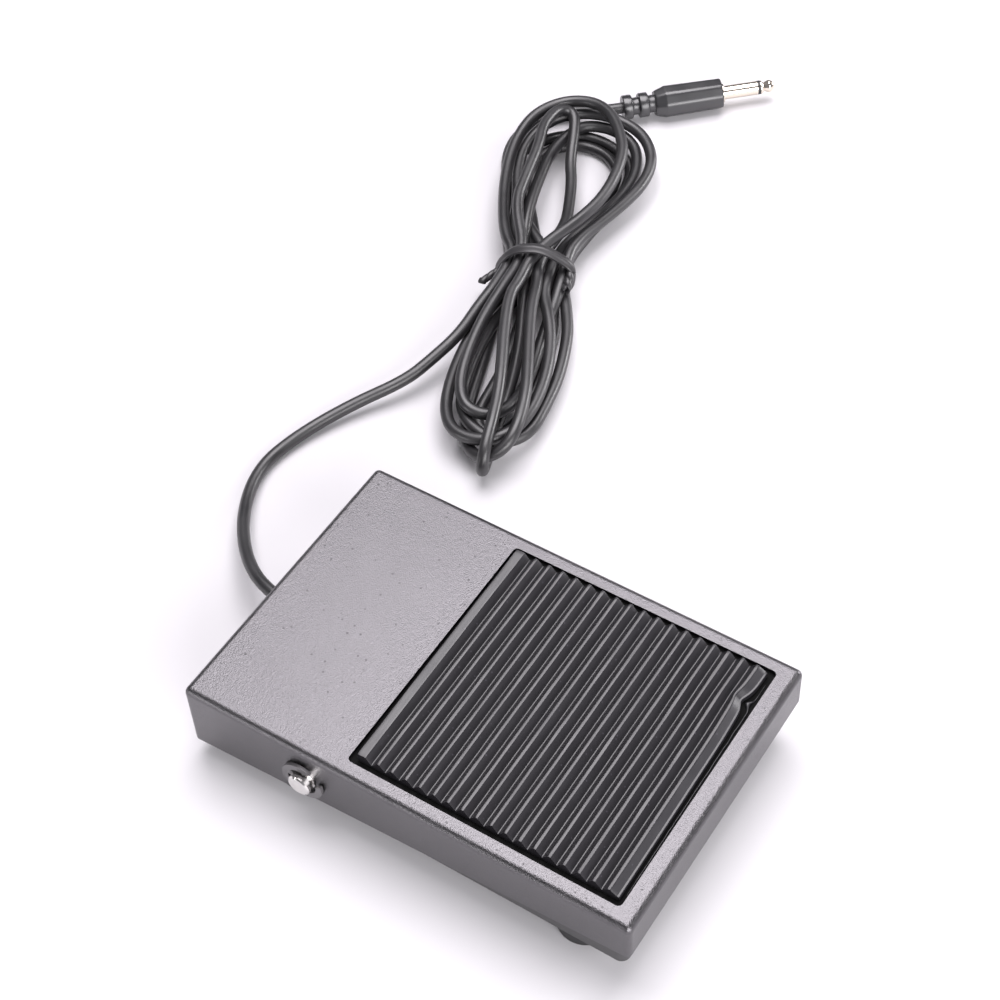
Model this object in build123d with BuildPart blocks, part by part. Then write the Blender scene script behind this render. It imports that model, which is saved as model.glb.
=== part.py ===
from build123d import *
import math
import os

os.makedirs("parts", exist_ok=True)

# Frame: +Z up, the feet stand on z = 0, the ribbed tread is toward -Y, the cord leaves at +Y.
# All sizes are in millimetres and angles in degrees.

# Pressed cover
cover_length = 100.0
cover_width = 66.0
cover_rear_depth = 16.6
cover_front_depth = 9.6
cover_sheet = 1.0
cover_bend_radius = 1.5
cover_corner_radius = 1.2
cover_inner_corner_radius = 0.4

# Window in the cover and the rubber tread that fills it
window_rear_margin = 36.5
window_front_margin = 4.0
window_side_margin = 3.4
window_corner_radius = 1.0
tread_gap = 0.85
rib_count = 18
rib_height = 1.5
rib_crest_width = 0.45
tread_base_thickness = 1.0
tread_end_draft = 0.3

# Steel plate that carries the tread under the window
plate_thickness = 1.0
plate_rear_overlap = 2.0
plate_front_clearance = 0.5
plate_side_clearance = 0.5

# Base tray
foot_height = 4.4
tray_sheet = 1.2
tray_side_gap = 0.4
tray_front_gap = 0.6
tray_rear_gap = 0.8
tray_corner_radius = 2.0
tray_inner_corner_radius = 0.8
tray_bend_radius = 1.0
tray_wall_height = 9.3
tray_rear_wall_reach = 2.4
rest_gap = 0.3
ear_radius = 5.0

# Pivot pin and its retaining clips
pivot_from_rear = 28.2
pivot_below_top = 8.6
pin_diameter = 5.0
pin_hole_clearance = 0.05
pin_overhang = 2.3
pin_end_chamfer = 0.3
clip_stand_off = 0.3
clip_thickness = 0.7
clip_outer_diameter = 9.2
clip_inner_diameter = 6.4
clip_groove_diameter = 4.0
clip_groove_play = 0.06
clip_mouth_width = 3.4
clip_lobe_width = 1.5
clip_rim_cover = 0.4
clip_lobe_angle = 62.0
clip_tilt = -38.0

# Rubber feet and their screws
foot_from_front = 14.0
foot_from_rear = 21.5
foot_from_side = 8.0
foot_top_diameter = 12.0
foot_bottom_diameter = 11.2
foot_edge_radius = 0.6
foot_bore_clearance = 0.1
foot_recess_diameter = 6.4
foot_recess_depth = 2.2
foot_screw_diameter = 2.9
foot_screw_length = 8.2
screw_head_diameter = 5.4
screw_head_height = 1.5
cross_slot_length = 3.0
cross_slot_width = 0.6
cross_slot_depth = 0.7
foot_nut_width = 5.5
foot_nut_height = 2.4
thread_clearance = 0.05

# Return spring and its post
spring_from_front = 20.0
spring_wire = 0.9
spring_mean_radius = 4.05
spring_turns = 6.0
spring_end_clearance = 0.05
post_flange_diameter = 11.0
post_flange_height = 1.0
post_diameter = 5.4
post_height = 5.0
post_rivet_diameter = 3.0
boss_height = 2.4

# Snap switch
switch_length = 19.8
switch_width = 6.4
switch_height = 10.2
switch_lid_thickness = 1.2
switch_edge_radius = 0.4
switch_hole_spacing = 9.5
switch_hole_height = 3.7
switch_hole_diameter = 2.35
plunger_diameter = 1.8
plunger_bore_diameter = 2.2
plunger_bore_depth = 4.0
plunger_length = 3.35
plunger_proud = 0.75
lever_pivot_from_plate_end = 10.0
lever_pivot_from_switch_centre = 7.6
lever_pivot_from_plunger = 4.5
lever_pivot_below_top = 0.8
lever_pin_diameter = 1.0
lever_pin_clearance = 0.05
lever_rest_angle = 8.8
lever_reach = 14.5
lever_thickness = 0.3
lever_width = 3.6
lever_seat_height = 1.1
lever_ear_radius = 1.1
lever_ear_gap = 0.15
lever_pin_overhang = 0.3
terminal_spacing = 8.0
terminal_length = 3.5
terminal_width = 2.3
terminal_thickness = 0.5
terminal_height = 1.4

# Switch bracket, its screws, nuts and rivets
bracket_sheet = 1.0
bracket_height = 8.0
bracket_flange = 9.0
bracket_margin = 1.0
switch_screw_diameter = 2.2
switch_screw_head_diameter = 3.8
switch_screw_head_height = 1.4
switch_nut_width = 4.5
switch_nut_height = 1.6
rivet_diameter = 2.4
rivet_head_diameter = 4.2
rivet_head_height = 0.9
rivet_spacing = 12.0

# Cord, grommet and cord clamp
cord_diameter = 2.8
cord_height = 10.0
grommet_neck_diameter = 5.6
grommet_flange_diameter = 8.0
grommet_inner_flange = 1.4
grommet_outer_flange = 1.6
grommet_bore_clearance = 0.05
notch_side_gap = 0.7
notch_top_gap = 1.0
clamp_from_rear = 9.5
clamp_length = 5.0
clamp_width = 15.0
clamp_flange_height = 2.0
clamp_wall = 1.4
clamp_screw_diameter = 2.2
clamp_screw_head_diameter = 4.0
clamp_screw_head_height = 1.3
jacket_end_beyond_clamp = 1.5
wire_diameter = 1.2
wire_pair_spacing = 1.4
sleeve_diameter = 2.2
sleeve_length = 4.0
wire_rise = 1.2
wire_last_run = 4.0
inner_wire_first_run = 4.0
outer_wire_first_run = 5.0
lead_last_run = 9.5

# Where each wire runs under the pin: sideways, and back from the pin's axis
inner_wire_bends = [(-16.5, -10.8), (-12.5, -2.8), (-4.0, 7.2)]
outer_wire_bends = [(-19.5, -17.8), (-17.5, -5.8), (-7.5, 8.2)]

# Where the tail runs round the hank: beyond the right lobe's tip, beyond its half width, and up
tail_first_run = 6.5
tail_last_run = 5.5
tail_bends = [(-29.5, -0.7, 0.0), (-17.5, 4.3, 0.0), (-5.5, 2.0, 0.2), (2.1, -7.0, 0.6)]

# Tied hank: six loops in four layers, drawn in at the waist
waist_x = 113.0
waist_y = 61.0
hank_angle = 19.0
layer_step = 3.25
crossings_per_layer = 3
waist_inner_offset = 1.9
waist_step = 2.2
lobe_step = 2.2
right_reach = 56.5
left_reach = 63.5
right_half_width = 15.0
left_half_width = 11.0
hank_lead_in = 9.0
hank_lead_out = 7.5
climb_slope = 0.05

# Twist tie round the waist
tie_width = 3.2
tie_thickness = 0.7
tie_core_width = 1.0
tie_core_rise = 0.3
tie_clearance = 0.2
tie_floor_gap = 0.2
tie_tail_length = 8.0
tie_tail_width = 2.4
tie_tail_thickness = 1.2
tie_tail_twist = 40.0
tie_tail_sections = 6
tie_tail_height = 4.5

# Plug on the end of the cord
plug_beyond_waist_x = 61.3
plug_beyond_waist_y = 13.0
plug_angle = -46.8
plug_body_width = 7.8
plug_body_length = 17.3
plug_body_ramp = 2.6
plug_body_taper = 0.9
plug_floor_gap = 0.1
boot_core_diameter = 4.4
boot_rib_diameter = 6.2
boot_rib_length = 2.4
boot_slot_length = 1.75
boot_rib_count = 2
plug_pin_diameter = 3.5
plug_sleeve_length = 9.4
plug_collar_diameter = 4.8
plug_collar_length = 0.6
plug_insulator_length = 0.8
plug_tip_length = 3.8
plug_tip_neck_diameter = 2.3
plug_tip_nose_diameter = 0.8
tip_shoulder = 0.3
tip_neck_place = 1.1
tip_bulge_place = 2.1
tip_bulge_share = 0.92
tip_nose_bow = 0.25

# Places that follow from the sizes above
cover_top = foot_height + cover_rear_depth
cover_bottom = foot_height
cover_underside = cover_top - cover_sheet
rear_y = cover_length / 2
front_y = -cover_length / 2
side_x = cover_width / 2
tray_floor = foot_height + tray_sheet
tray_width = cover_width - 2 * cover_sheet - 2 * tray_side_gap
tray_front_y = front_y + cover_sheet + tray_front_gap
tray_rear_y = rear_y - cover_sheet - tray_rear_gap
tray_length = tray_rear_y - tray_front_y
tray_centre_y = (tray_rear_y + tray_front_y) / 2
tray_rear_top = cover_underside - rest_gap
pivot_y = rear_y - pivot_from_rear
pivot_z = cover_top - pivot_below_top
pin_length = cover_width + 2 * pin_overhang
pin_hole_radius = pin_diameter / 2 + pin_hole_clearance
clip_centre_x = side_x + clip_stand_off + clip_thickness / 2
window_length = cover_length - window_rear_margin - window_front_margin
window_width = cover_width - 2 * window_side_margin
window_centre_y = (window_front_margin - window_rear_margin) / 2
tread_length = window_length - 2 * tread_gap
tread_width = window_width - 2 * tread_gap
rib_pitch = tread_length / rib_count
tread_bottom = cover_underside
tread_valley = tread_bottom + tread_base_thickness
plate_top = cover_underside
plate_bottom = plate_top - plate_thickness
plate_front_y = front_y + cover_sheet + plate_front_clearance
plate_rear_y = rear_y - window_rear_margin + plate_rear_overlap
plate_width = cover_width - 2 * cover_sheet - 2 * plate_side_clearance
spring_y = front_y + spring_from_front
lever_pivot_y = plate_rear_y - lever_pivot_from_plate_end
switch_centre_y = lever_pivot_y - lever_pivot_from_switch_centre
plunger_y = lever_pivot_y - lever_pivot_from_plunger
switch_top = tray_floor + switch_height
switch_side = switch_width / 2
lever_pivot_z = switch_top - lever_pivot_below_top
terminal_z = tray_floor + terminal_height
terminal_end_x = -switch_side - terminal_length
sleeve_end_x = terminal_end_x - sleeve_length
grommet_inner_y = tray_rear_y - tray_sheet - grommet_inner_flange
grommet_outer_y = tray_rear_y + grommet_outer_flange
clamp_y = rear_y - clamp_from_rear
jacket_end_y = clamp_y - clamp_length / 2 - jacket_end_beyond_clamp
cord_radius = cord_diameter / 2
tie_stack = tie_clearance + tie_thickness + tie_core_rise
hank_floor_z = tie_floor_gap + tie_stack + cord_radius
foot_places = {
    "front_left": (-side_x + foot_from_side, front_y + foot_from_front),
    "front_right": (side_x - foot_from_side, front_y + foot_from_front),
    "rear_left": (-side_x + foot_from_side, rear_y - foot_from_rear),
    "rear_right": (side_x - foot_from_side, rear_y - foot_from_rear),
}
switch_hole_ys = [switch_centre_y - switch_hole_spacing / 2, switch_centre_y + switch_hole_spacing / 2]
switch_hole_z = tray_floor + switch_hole_height
bracket_x = switch_side
rivet_x = bracket_x + bracket_sheet + (bracket_flange - bracket_sheet) / 2
rivet_ys = [switch_centre_y - rivet_spacing / 2, switch_centre_y + rivet_spacing / 2]
clamp_screw_x = (clamp_width / 2 + cord_radius + clamp_wall) / 2
upward = (Align.CENTER, Align.CENTER, Align.MIN)
downward = (Align.CENTER, Align.CENTER, Align.MAX)
pieces = {}

# The cover is one sheet folded down on four sides, shallower at the front than at the rear.
with BuildPart() as top_cover:
    with BuildSketch(Plane.XY.offset(cover_bottom)):
        RectangleRounded(cover_width, cover_length, cover_corner_radius)
    extrude(amount=cover_rear_depth)
    fillet(top_cover.faces().sort_by(Axis.Z)[-1].edges(), cover_bend_radius)
    with BuildSketch(Plane.XY.offset(cover_bottom)):
        inner_width = cover_width - 2 * cover_sheet
        inner_length = cover_length - 2 * cover_sheet
        RectangleRounded(inner_width, inner_length, cover_inner_corner_radius)
    extrude(amount=cover_rear_depth - cover_sheet, mode=Mode.SUBTRACT)
    with BuildSketch(Plane.YZ):
        with BuildLine():
            edge_rear = (rear_y, cover_bottom)
            edge_front = (front_y, cover_top - cover_front_depth)
            Polyline(edge_rear, edge_front, (front_y, cover_bottom), close=True)
        make_face()
    extrude(amount=cover_width, both=True, mode=Mode.SUBTRACT)
    with BuildSketch(Plane.XY.offset(cover_underside)):
        with Locations((0, window_centre_y)):
            RectangleRounded(window_width, window_length, window_corner_radius)
    extrude(amount=cover_sheet, mode=Mode.SUBTRACT)
    with Locations((0, pivot_y, pivot_z)):
        Cylinder(pin_hole_radius, cover_width, rotation=(0, 90, 0), mode=Mode.SUBTRACT)
    with BuildSketch(Plane.XZ.offset(-rear_y)):
        notch_width = grommet_flange_diameter + 2 * notch_side_gap
        notch_top = cord_height + grommet_flange_diameter / 2 + notch_top_gap
        with Locations((0, cover_bottom)):
            Rectangle(notch_width, notch_top - cover_bottom, align=(Align.CENTER, Align.MIN))
    extrude(amount=cover_sheet, mode=Mode.SUBTRACT)
pieces["top_cover"] = top_cover

# The plate is welded under the window, and a short boss on it centres the return spring.
with BuildPart() as pad_plate:
    with BuildSketch(Plane.XY.offset(plate_bottom)):
        with Locations((0, (plate_front_y + plate_rear_y) / 2)):
            Rectangle(plate_width, plate_rear_y - plate_front_y)
    extrude(amount=plate_thickness)
    with BuildSketch(Plane.XY.offset(plate_bottom)):
        with Locations((0, spring_y)):
            Circle(post_diameter / 2)
    extrude(amount=-boss_height)
pieces["pad_plate"] = pad_plate

# The tread's ribs run across the pedal and have straight sides and a narrow crest.
with BuildPart() as tread_pad:
    with BuildSketch(Plane.YZ):
        with BuildLine():
            tread_front_y = window_centre_y - tread_length / 2
            outline = [(tread_front_y, tread_bottom), (tread_front_y, tread_valley)]
            for rib in range(rib_count):
                crest_y = tread_front_y + (rib + 0.5) * rib_pitch
                outline.append((crest_y - rib_crest_width / 2, tread_valley + rib_height))
                outline.append((crest_y + rib_crest_width / 2, tread_valley + rib_height))
                outline.append((crest_y + rib_pitch / 2, tread_valley))
            outline.append((tread_front_y + tread_length, tread_bottom))
            Polyline(*outline, close=True)
        make_face()
    extrude(amount=tread_width / 2, both=True)
    with BuildSketch(Plane.XZ.offset(-window_centre_y)):
        with BuildLine():
            foot_half = tread_width / 2
            crest_half = foot_half - tread_end_draft
            crest_z = tread_valley + rib_height
            lower_left = (-foot_half, tread_bottom)
            lower_right = (foot_half, tread_bottom)
            Polyline(lower_left, lower_right, (crest_half, crest_z), (-crest_half, crest_z), close=True)
        make_face()
    extrude(amount=tread_length, both=True, mode=Mode.INTERSECT)
pieces["tread_pad"] = tread_pad

# The base tray is folded up on four sides and has a rounded ear for the pin on each side.
with BuildPart() as base_tray:
    with BuildSketch(Plane.XY.offset(foot_height)):
        with Locations((0, tray_centre_y)):
            RectangleRounded(tray_width, tray_length, tray_corner_radius)
    extrude(amount=tray_rear_top - foot_height)
    fillet(base_tray.faces().sort_by(Axis.Z)[0].edges(), tray_bend_radius)
    with BuildSketch(Plane.XY.offset(tray_floor)):
        with Locations((0, tray_centre_y)):
            tray_bay_width = tray_width - 2 * tray_sheet
            tray_bay_length = tray_length - 2 * tray_sheet
            RectangleRounded(tray_bay_width, tray_bay_length, tray_inner_corner_radius)
    extrude(amount=tray_rear_top - tray_floor, mode=Mode.SUBTRACT)
    with BuildSketch(Plane.YZ):
        with Locations((tray_centre_y, foot_height)):
            Rectangle(tray_length, tray_wall_height, align=(Align.CENTER, Align.MIN))
        with Locations((tray_rear_y, foot_height)):
            rear_wall_height = tray_rear_top - foot_height
            Rectangle(tray_rear_wall_reach, rear_wall_height, align=(Align.MAX, Align.MIN))
        with Locations((pivot_y, pivot_z)):
            Circle(ear_radius)
    extrude(amount=tray_width, both=True, mode=Mode.INTERSECT)
    with Locations((0, pivot_y, pivot_z)):
        Cylinder(pin_hole_radius, tray_width, rotation=(0, 90, 0), mode=Mode.SUBTRACT)
    with Locations((0, tray_rear_y, cord_height)):
        Cylinder(grommet_neck_diameter / 2, 4 * tray_sheet, rotation=(90, 0, 0), mode=Mode.SUBTRACT)
    with BuildSketch(Plane.XY.offset(tray_floor)):
        with Locations(*foot_places.values()):
            Circle(foot_screw_diameter / 2 + thread_clearance)
        with Locations((0, spring_y)):
            Circle(post_rivet_diameter / 2)
        with Locations(*[(rivet_x, y) for y in rivet_ys]):
            Circle(rivet_diameter / 2)
        with Locations((-clamp_screw_x, clamp_y), (clamp_screw_x, clamp_y)):
            Circle(clamp_screw_diameter / 2 + thread_clearance)
    extrude(amount=-tray_sheet, mode=Mode.SUBTRACT)
pieces["base_tray"] = base_tray

# The pin runs right across and has a groove for a clip at each end.
with BuildPart() as pivot_pin:
    with Locations((0, pivot_y, pivot_z)):
        Cylinder(pin_diameter / 2, pin_length, rotation=(0, 90, 0))
    chamfer(pivot_pin.edges().filter_by(GeomType.CIRCLE), pin_end_chamfer)
    for side in (-1, 1):
        with BuildSketch(Plane.YZ.offset(side * clip_centre_x)):
            with Locations((pivot_y, pivot_z)):
                Circle(pin_diameter / 2)
                Circle(clip_groove_diameter / 2, mode=Mode.SUBTRACT)
        extrude(amount=clip_thickness / 2 + clip_groove_play, both=True, mode=Mode.SUBTRACT)
pieces["pivot_pin"] = pivot_pin


def retaining_clip(side):
    """An open ring with three inward lobes that sits in the pin's groove."""
    with BuildPart() as clip:
        with BuildSketch(Plane.YZ.offset(side * clip_centre_x)):
            with Locations(Location((pivot_y, pivot_z), clip_tilt)):
                Circle(clip_outer_diameter / 2)
                Circle(clip_inner_diameter / 2, mode=Mode.SUBTRACT)
                for lobe in (180 - clip_lobe_angle, 180, 180 + clip_lobe_angle):
                    lobe_length = clip_outer_diameter / 2 - clip_rim_cover
                    with Locations(Rotation(0, 0, lobe + 180)):
                        Rectangle(lobe_length, clip_lobe_width, align=(Align.MIN, Align.CENTER))
                Rectangle(clip_outer_diameter, clip_mouth_width, align=(Align.MAX, Align.CENTER),
                          mode=Mode.SUBTRACT)
                Circle(clip_groove_diameter / 2, mode=Mode.SUBTRACT)
        extrude(amount=clip_thickness / 2, both=True)
    return clip


pieces["e_clip_left"] = retaining_clip(-1)
pieces["e_clip_right"] = retaining_clip(1)


def rubber_foot(x, y):
    """A tapered rubber foot with a recess for its screw head."""
    with BuildPart() as foot:
        with BuildSketch(Plane.XZ.offset(-y)):
            with BuildLine():
                inner = foot_screw_diameter / 2 + foot_bore_clearance
                recess = foot_recess_diameter / 2
                bottom = foot_bottom_diameter / 2
                top = foot_top_diameter / 2
                Polyline(
                    (x + inner, foot_height),
                    (x + inner, foot_recess_depth),
                    (x + recess, foot_recess_depth),
                    (x + recess, 0),
                    (x + bottom, 0),
                    (x + top, foot_height),
                    close=True,
                )
            make_face()
        revolve(axis=Axis((x, y, 0), (0, 0, 1)))
        rim = foot.edges().filter_by(GeomType.CIRCLE).group_by(Axis.Z)[0].sort_by(SortBy.RADIUS)[-1]
        fillet(rim, foot_edge_radius)
    return foot


for place, (foot_x, foot_y) in foot_places.items():
    pieces["foot_" + place] = rubber_foot(foot_x, foot_y)

# Each foot screw passes up through its foot and the tray into a nut.
with BuildPart() as foot_screws:
    head_bottom = foot_recess_depth - screw_head_height
    with Locations(*[(x, y, head_bottom) for x, y in foot_places.values()]):
        Cylinder(screw_head_diameter / 2, screw_head_height, align=upward)
        Cylinder(foot_screw_diameter / 2, foot_screw_length, align=upward)
        Box(cross_slot_length, cross_slot_width, cross_slot_depth, align=upward, mode=Mode.SUBTRACT)
        Box(cross_slot_width, cross_slot_length, cross_slot_depth, align=upward, mode=Mode.SUBTRACT)
pieces["foot_screws"] = foot_screws

with BuildPart() as foot_nuts:
    with BuildSketch(Plane.XY.offset(tray_floor)):
        with Locations(*foot_places.values()):
            RegularPolygon(foot_nut_width / 2, 6, major_radius=False)
            Circle(foot_screw_diameter / 2 + thread_clearance, mode=Mode.SUBTRACT)
    extrude(amount=foot_nut_height)
pieces["foot_nuts"] = foot_nuts

# The spring stands on a riveted post and lifts the plate.
with BuildPart() as spring_post:
    with Locations((0, spring_y, foot_height)):
        Cylinder(post_rivet_diameter / 2, tray_sheet, align=upward)
    with Locations((0, spring_y, tray_floor)):
        Cylinder(post_flange_diameter / 2, post_flange_height, align=upward)
    with Locations((0, spring_y, tray_floor + post_flange_height)):
        Cylinder(post_diameter / 2, post_height, align=upward)
    chamfer(spring_post.faces().sort_by(Axis.Z)[-1].edges(), pin_end_chamfer)
pieces["spring_post"] = spring_post

with BuildPart() as return_spring:
    spring_low = tray_floor + post_flange_height + spring_wire / 2 + spring_end_clearance
    spring_high = plate_bottom - spring_wire / 2 - spring_end_clearance
    spring_rise = spring_high - spring_low
    with BuildLine() as spring_path:
        Helix(spring_rise / spring_turns, spring_rise, spring_mean_radius, center=(0, spring_y, spring_low))
    with BuildSketch(Plane(spring_path.line @ 0, z_dir=spring_path.line % 0)):
        Circle(spring_wire / 2)
    sweep(path=spring_path.line, is_frenet=True)
pieces["return_spring"] = return_spring

# The snap switch is a moulded case with a lid, a plunger in a bore and a lever hinged on a pin.
switch_case_width = switch_width - switch_lid_thickness
with BuildPart() as switch_case:
    with Locations((-switch_side, switch_centre_y, tray_floor)):
        Box(switch_case_width, switch_length, switch_height, align=(Align.MIN, Align.CENTER, Align.MIN))
    fillet(switch_case.edges().filter_by(Axis.X), switch_edge_radius)
    with Locations((0, plunger_y, switch_top)):
        Cylinder(plunger_bore_diameter / 2, plunger_bore_depth, align=downward, mode=Mode.SUBTRACT)
    with Locations(*[(0, y, switch_hole_z) for y in switch_hole_ys]):
        Cylinder(switch_hole_diameter / 2, switch_width, rotation=(0, 90, 0), mode=Mode.SUBTRACT)
    with Locations((0, lever_pivot_y, lever_pivot_z)):
        Cylinder(lever_pin_diameter / 2, switch_width, rotation=(0, 90, 0), mode=Mode.SUBTRACT)
pieces["switch_case"] = switch_case

with BuildPart() as switch_lid:
    with Locations((switch_side, switch_centre_y, tray_floor)):
        Box(switch_lid_thickness, switch_length, switch_height, align=(Align.MAX, Align.CENTER, Align.MIN))
    fillet(switch_lid.edges().filter_by(Axis.X), switch_edge_radius)
    with Locations(*[(0, y, switch_hole_z) for y in switch_hole_ys]):
        Cylinder(switch_hole_diameter / 2, switch_width, rotation=(0, 90, 0), mode=Mode.SUBTRACT)
    with Locations((0, lever_pivot_y, lever_pivot_z)):
        Cylinder(lever_pin_diameter / 2, switch_width, rotation=(0, 90, 0), mode=Mode.SUBTRACT)
pieces["switch_lid"] = switch_lid

with BuildPart() as switch_plunger:
    with Locations((0, plunger_y, switch_top + plunger_proud)):
        Cylinder(plunger_diameter / 2, plunger_length, align=downward)
    fillet(switch_plunger.faces().sort_by(Axis.Z)[-1].edges(), plunger_diameter / 4)
pieces["switch_plunger"] = switch_plunger

with BuildPart() as lever_pin:
    lever_pin_length = switch_width + 2 * (lever_ear_gap + lever_thickness + lever_pin_overhang)
    with Locations((0, lever_pivot_y, lever_pivot_z)):
        Cylinder(lever_pin_diameter / 2, lever_pin_length, rotation=(0, 90, 0))
pieces["lever_pin"] = lever_pin

lever_plane = Plane((0, lever_pivot_y, lever_pivot_z), x_dir=(1, 0, 0), z_dir=(0, 0, 1))
lever_plane = lever_plane.rotated((-lever_rest_angle, 0, 0))
with BuildPart(lever_plane) as switch_lever:
    ear_x = switch_side + lever_ear_gap + lever_thickness / 2
    strip_z = lever_seat_height + lever_thickness / 2
    with Locations((-ear_x, 0, 0), (ear_x, 0, 0)):
        Cylinder(lever_ear_radius, lever_thickness, rotation=(0, 90, 0))
        Box(lever_thickness, 2 * lever_ear_radius, lever_seat_height + lever_thickness,
            align=upward)
    with Locations((0, 0, strip_z)):
        Box(2 * ear_x + lever_thickness, 2 * lever_ear_radius, lever_thickness)
    with Locations((0, lever_ear_radius, strip_z)):
        Box(lever_width, lever_reach + lever_ear_radius, lever_thickness,
            align=(Align.CENTER, Align.MAX, Align.CENTER))
    lever_bore = lever_pin_diameter / 2 + lever_pin_clearance
    Cylinder(lever_bore, 4 * ear_x, rotation=(0, 90, 0), mode=Mode.SUBTRACT)
pieces["switch_lever"] = switch_lever

terminal_ys = [switch_centre_y + terminal_spacing * place for place in (-1, 0, 1)]
with BuildPart() as switch_terminals:
    with Locations(*[(-switch_side, y, terminal_z) for y in terminal_ys]):
        Box(terminal_length, terminal_width, terminal_thickness,
            align=(Align.MAX, Align.CENTER, Align.CENTER))
pieces["switch_terminals"] = switch_terminals

# An angle bracket holds the switch, and two rivets hold the bracket to the tray.
with BuildPart() as switch_bracket:
    bracket_length = switch_length - 2 * bracket_margin
    with Locations((bracket_x, switch_centre_y, tray_floor)):
        Box(bracket_sheet, bracket_length, bracket_height, align=(Align.MIN, Align.CENTER, Align.MIN))
        Box(bracket_flange, bracket_length, bracket_sheet, align=(Align.MIN, Align.CENTER, Align.MIN))
    with Locations(*[(bracket_x, y, switch_hole_z) for y in switch_hole_ys]):
        Cylinder(switch_hole_diameter / 2, 4 * bracket_sheet, rotation=(0, 90, 0), mode=Mode.SUBTRACT)
    with Locations(*[(rivet_x, y, tray_floor) for y in rivet_ys]):
        Cylinder(rivet_diameter / 2, 4 * bracket_sheet, mode=Mode.SUBTRACT)
pieces["switch_bracket"] = switch_bracket

with BuildPart() as switch_screws:
    screw_reach = switch_width + bracket_sheet + switch_nut_height
    for hole_y in switch_hole_ys:
        with BuildSketch(Plane.YZ.offset(-switch_side)):
            with Locations((hole_y, switch_hole_z)):
                Circle(switch_screw_head_diameter / 2)
        extrude(amount=-switch_screw_head_height)
        with BuildSketch(Plane.YZ.offset(-switch_side)):
            with Locations((hole_y, switch_hole_z)):
                Circle(switch_screw_diameter / 2)
        extrude(amount=screw_reach)
pieces["switch_screws"] = switch_screws

with BuildPart() as switch_nuts:
    with BuildSketch(Plane.YZ.offset(bracket_x + bracket_sheet)):
        with Locations(*[(y, switch_hole_z) for y in switch_hole_ys]):
            RegularPolygon(switch_nut_width / 2, 6, major_radius=False)
            Circle(switch_screw_diameter / 2 + thread_clearance, mode=Mode.SUBTRACT)
    extrude(amount=switch_nut_height)
pieces["switch_nuts"] = switch_nuts

with BuildPart() as bracket_rivets:
    with Locations(*[(rivet_x, y, foot_height) for y in rivet_ys]):
        Cylinder(rivet_diameter / 2, tray_sheet + bracket_sheet, align=upward)
    with Locations(*[(rivet_x, y, tray_floor + bracket_sheet) for y in rivet_ys]):
        Cylinder(rivet_head_diameter / 2, rivet_head_height, align=upward)
pieces["bracket_rivets"] = bracket_rivets

# The grommet lines the tray's rear hole, and the cord runs through it to a screwed clamp.
with BuildPart() as cord_grommet:
    with BuildSketch(Plane.XZ.offset(-grommet_inner_y)):
        with Locations((0, cord_height)):
            Circle(grommet_flange_diameter / 2)
    extrude(amount=-grommet_inner_flange)
    with BuildSketch(Plane.XZ.offset(-tray_rear_y + tray_sheet)):
        with Locations((0, cord_height)):
            Circle(grommet_neck_diameter / 2)
    extrude(amount=-tray_sheet)
    with BuildSketch(Plane.XZ.offset(-tray_rear_y)):
        with Locations((0, cord_height)):
            Circle(grommet_flange_diameter / 2)
    extrude(amount=-grommet_outer_flange)
    with BuildSketch(Plane.XZ.offset(-grommet_outer_y)):
        with Locations((0, cord_height)):
            Circle(cord_radius + grommet_bore_clearance)
    extrude(amount=grommet_outer_y - grommet_inner_y, mode=Mode.SUBTRACT)
pieces["cord_grommet"] = cord_grommet

with BuildPart() as cord_inlet:
    with BuildSketch(Plane.XZ.offset(-grommet_outer_y)):
        with Locations((0, cord_height)):
            Circle(cord_radius)
    extrude(amount=grommet_outer_y - jacket_end_y)
pieces["cord_inlet"] = cord_inlet

with BuildPart() as cord_clamp:
    saddle_radius = cord_radius + clamp_wall
    with Locations((0, clamp_y, tray_floor)):
        Box(clamp_width, clamp_length, clamp_flange_height, align=upward)
        Box(2 * saddle_radius, clamp_length, cord_height - tray_floor, align=upward)
    with Locations((0, clamp_y, cord_height)):
        Cylinder(saddle_radius, clamp_length, rotation=(90, 0, 0))
        Cylinder(cord_radius + grommet_bore_clearance, clamp_length, rotation=(90, 0, 0), mode=Mode.SUBTRACT)
    with Locations((-clamp_screw_x, clamp_y, tray_floor), (clamp_screw_x, clamp_y, tray_floor)):
        Cylinder(clamp_screw_diameter / 2 + thread_clearance, 4 * clamp_flange_height, mode=Mode.SUBTRACT)
pieces["cord_clamp"] = cord_clamp

with BuildPart() as clamp_screws:
    with Locations((-clamp_screw_x, clamp_y, foot_height), (clamp_screw_x, clamp_y, foot_height)):
        Cylinder(clamp_screw_diameter / 2, tray_sheet + clamp_flange_height, align=upward)
    flange_top = tray_floor + clamp_flange_height
    with Locations((-clamp_screw_x, clamp_y, flange_top), (clamp_screw_x, clamp_y, flange_top)):
        Cylinder(clamp_screw_head_diameter / 2, clamp_screw_head_height, align=upward)
pieces["clamp_screws"] = clamp_screws


def corner_radii(points, share=0.45):
    """The largest arcs that the runs of a route allow, one for each inner corner."""
    radii = []
    for before, corner, after in zip(points, points[1:], points[2:]):
        arriving = corner - before
        leaving = after - corner
        half_turn = math.radians(arriving.get_angle(leaving)) / 2
        radii.append(share * min(arriving.length, leaving.length) / math.tan(half_turn))
    return radii


def tube(points, diameter):
    """A round tube along straight runs joined by tangent arcs, and its path."""
    points = [Vector(*point) for point in points]
    with BuildPart() as piece:
        with BuildLine() as route:
            FilletPolyline(*points, radius=corner_radii(points))
        with BuildSketch(Plane(points[0], z_dir=points[1] - points[0])):
            Circle(diameter / 2)
        sweep(path=route.wires()[0])
    return piece, route.wires()[0]


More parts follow.
